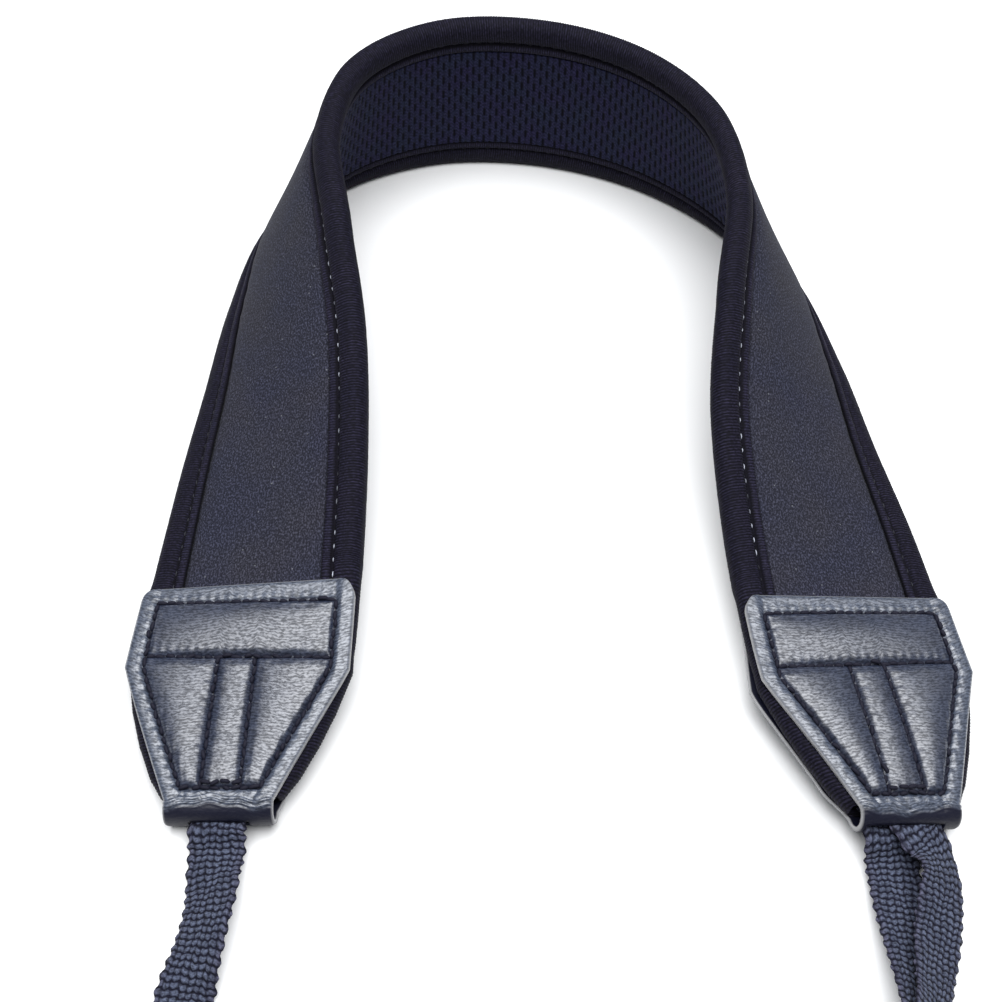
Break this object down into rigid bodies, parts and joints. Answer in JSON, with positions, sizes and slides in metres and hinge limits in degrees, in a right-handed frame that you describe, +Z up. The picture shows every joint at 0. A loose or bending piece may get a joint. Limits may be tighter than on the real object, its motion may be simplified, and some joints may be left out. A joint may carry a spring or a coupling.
{
  "type": "camera neck strap",
  "caption": "Padded camera neck strap with bound edges, quilted leather end tabs and short webbing ends, lying as an upturned U",
  "frame": {"origin": "on the surface that the strap lies on, under the middle of its bounding box", "axes": "+Z up, +Y from the webbing ends towards the bend, +X across from the left leg to the right leg"},
  "size_m": [0.2486, 0.356, 0.066],
  "materials": {
    "jersey": "dark charcoal knitted jersey over foam, matt",
    "mesh": "dark navy knitted mesh, matt",
    "binding": "finely ribbed stretch binding tape, near black",
    "leather": "dark slate grained leather, satin",
    "webbing": "coarse woven webbing, dark navy"
  },
  "bodies": {
    "root": {"neoprene_pad": "jersey", "mesh_lining": "mesh", "edge_binding_upper": "binding", "edge_binding_lower": "binding", "leather_tab_left": "leather", "leather_tab_right": "leather", "webbing_left": "webbing", "webbing_right": "webbing"}
  },
  "joints": []
}
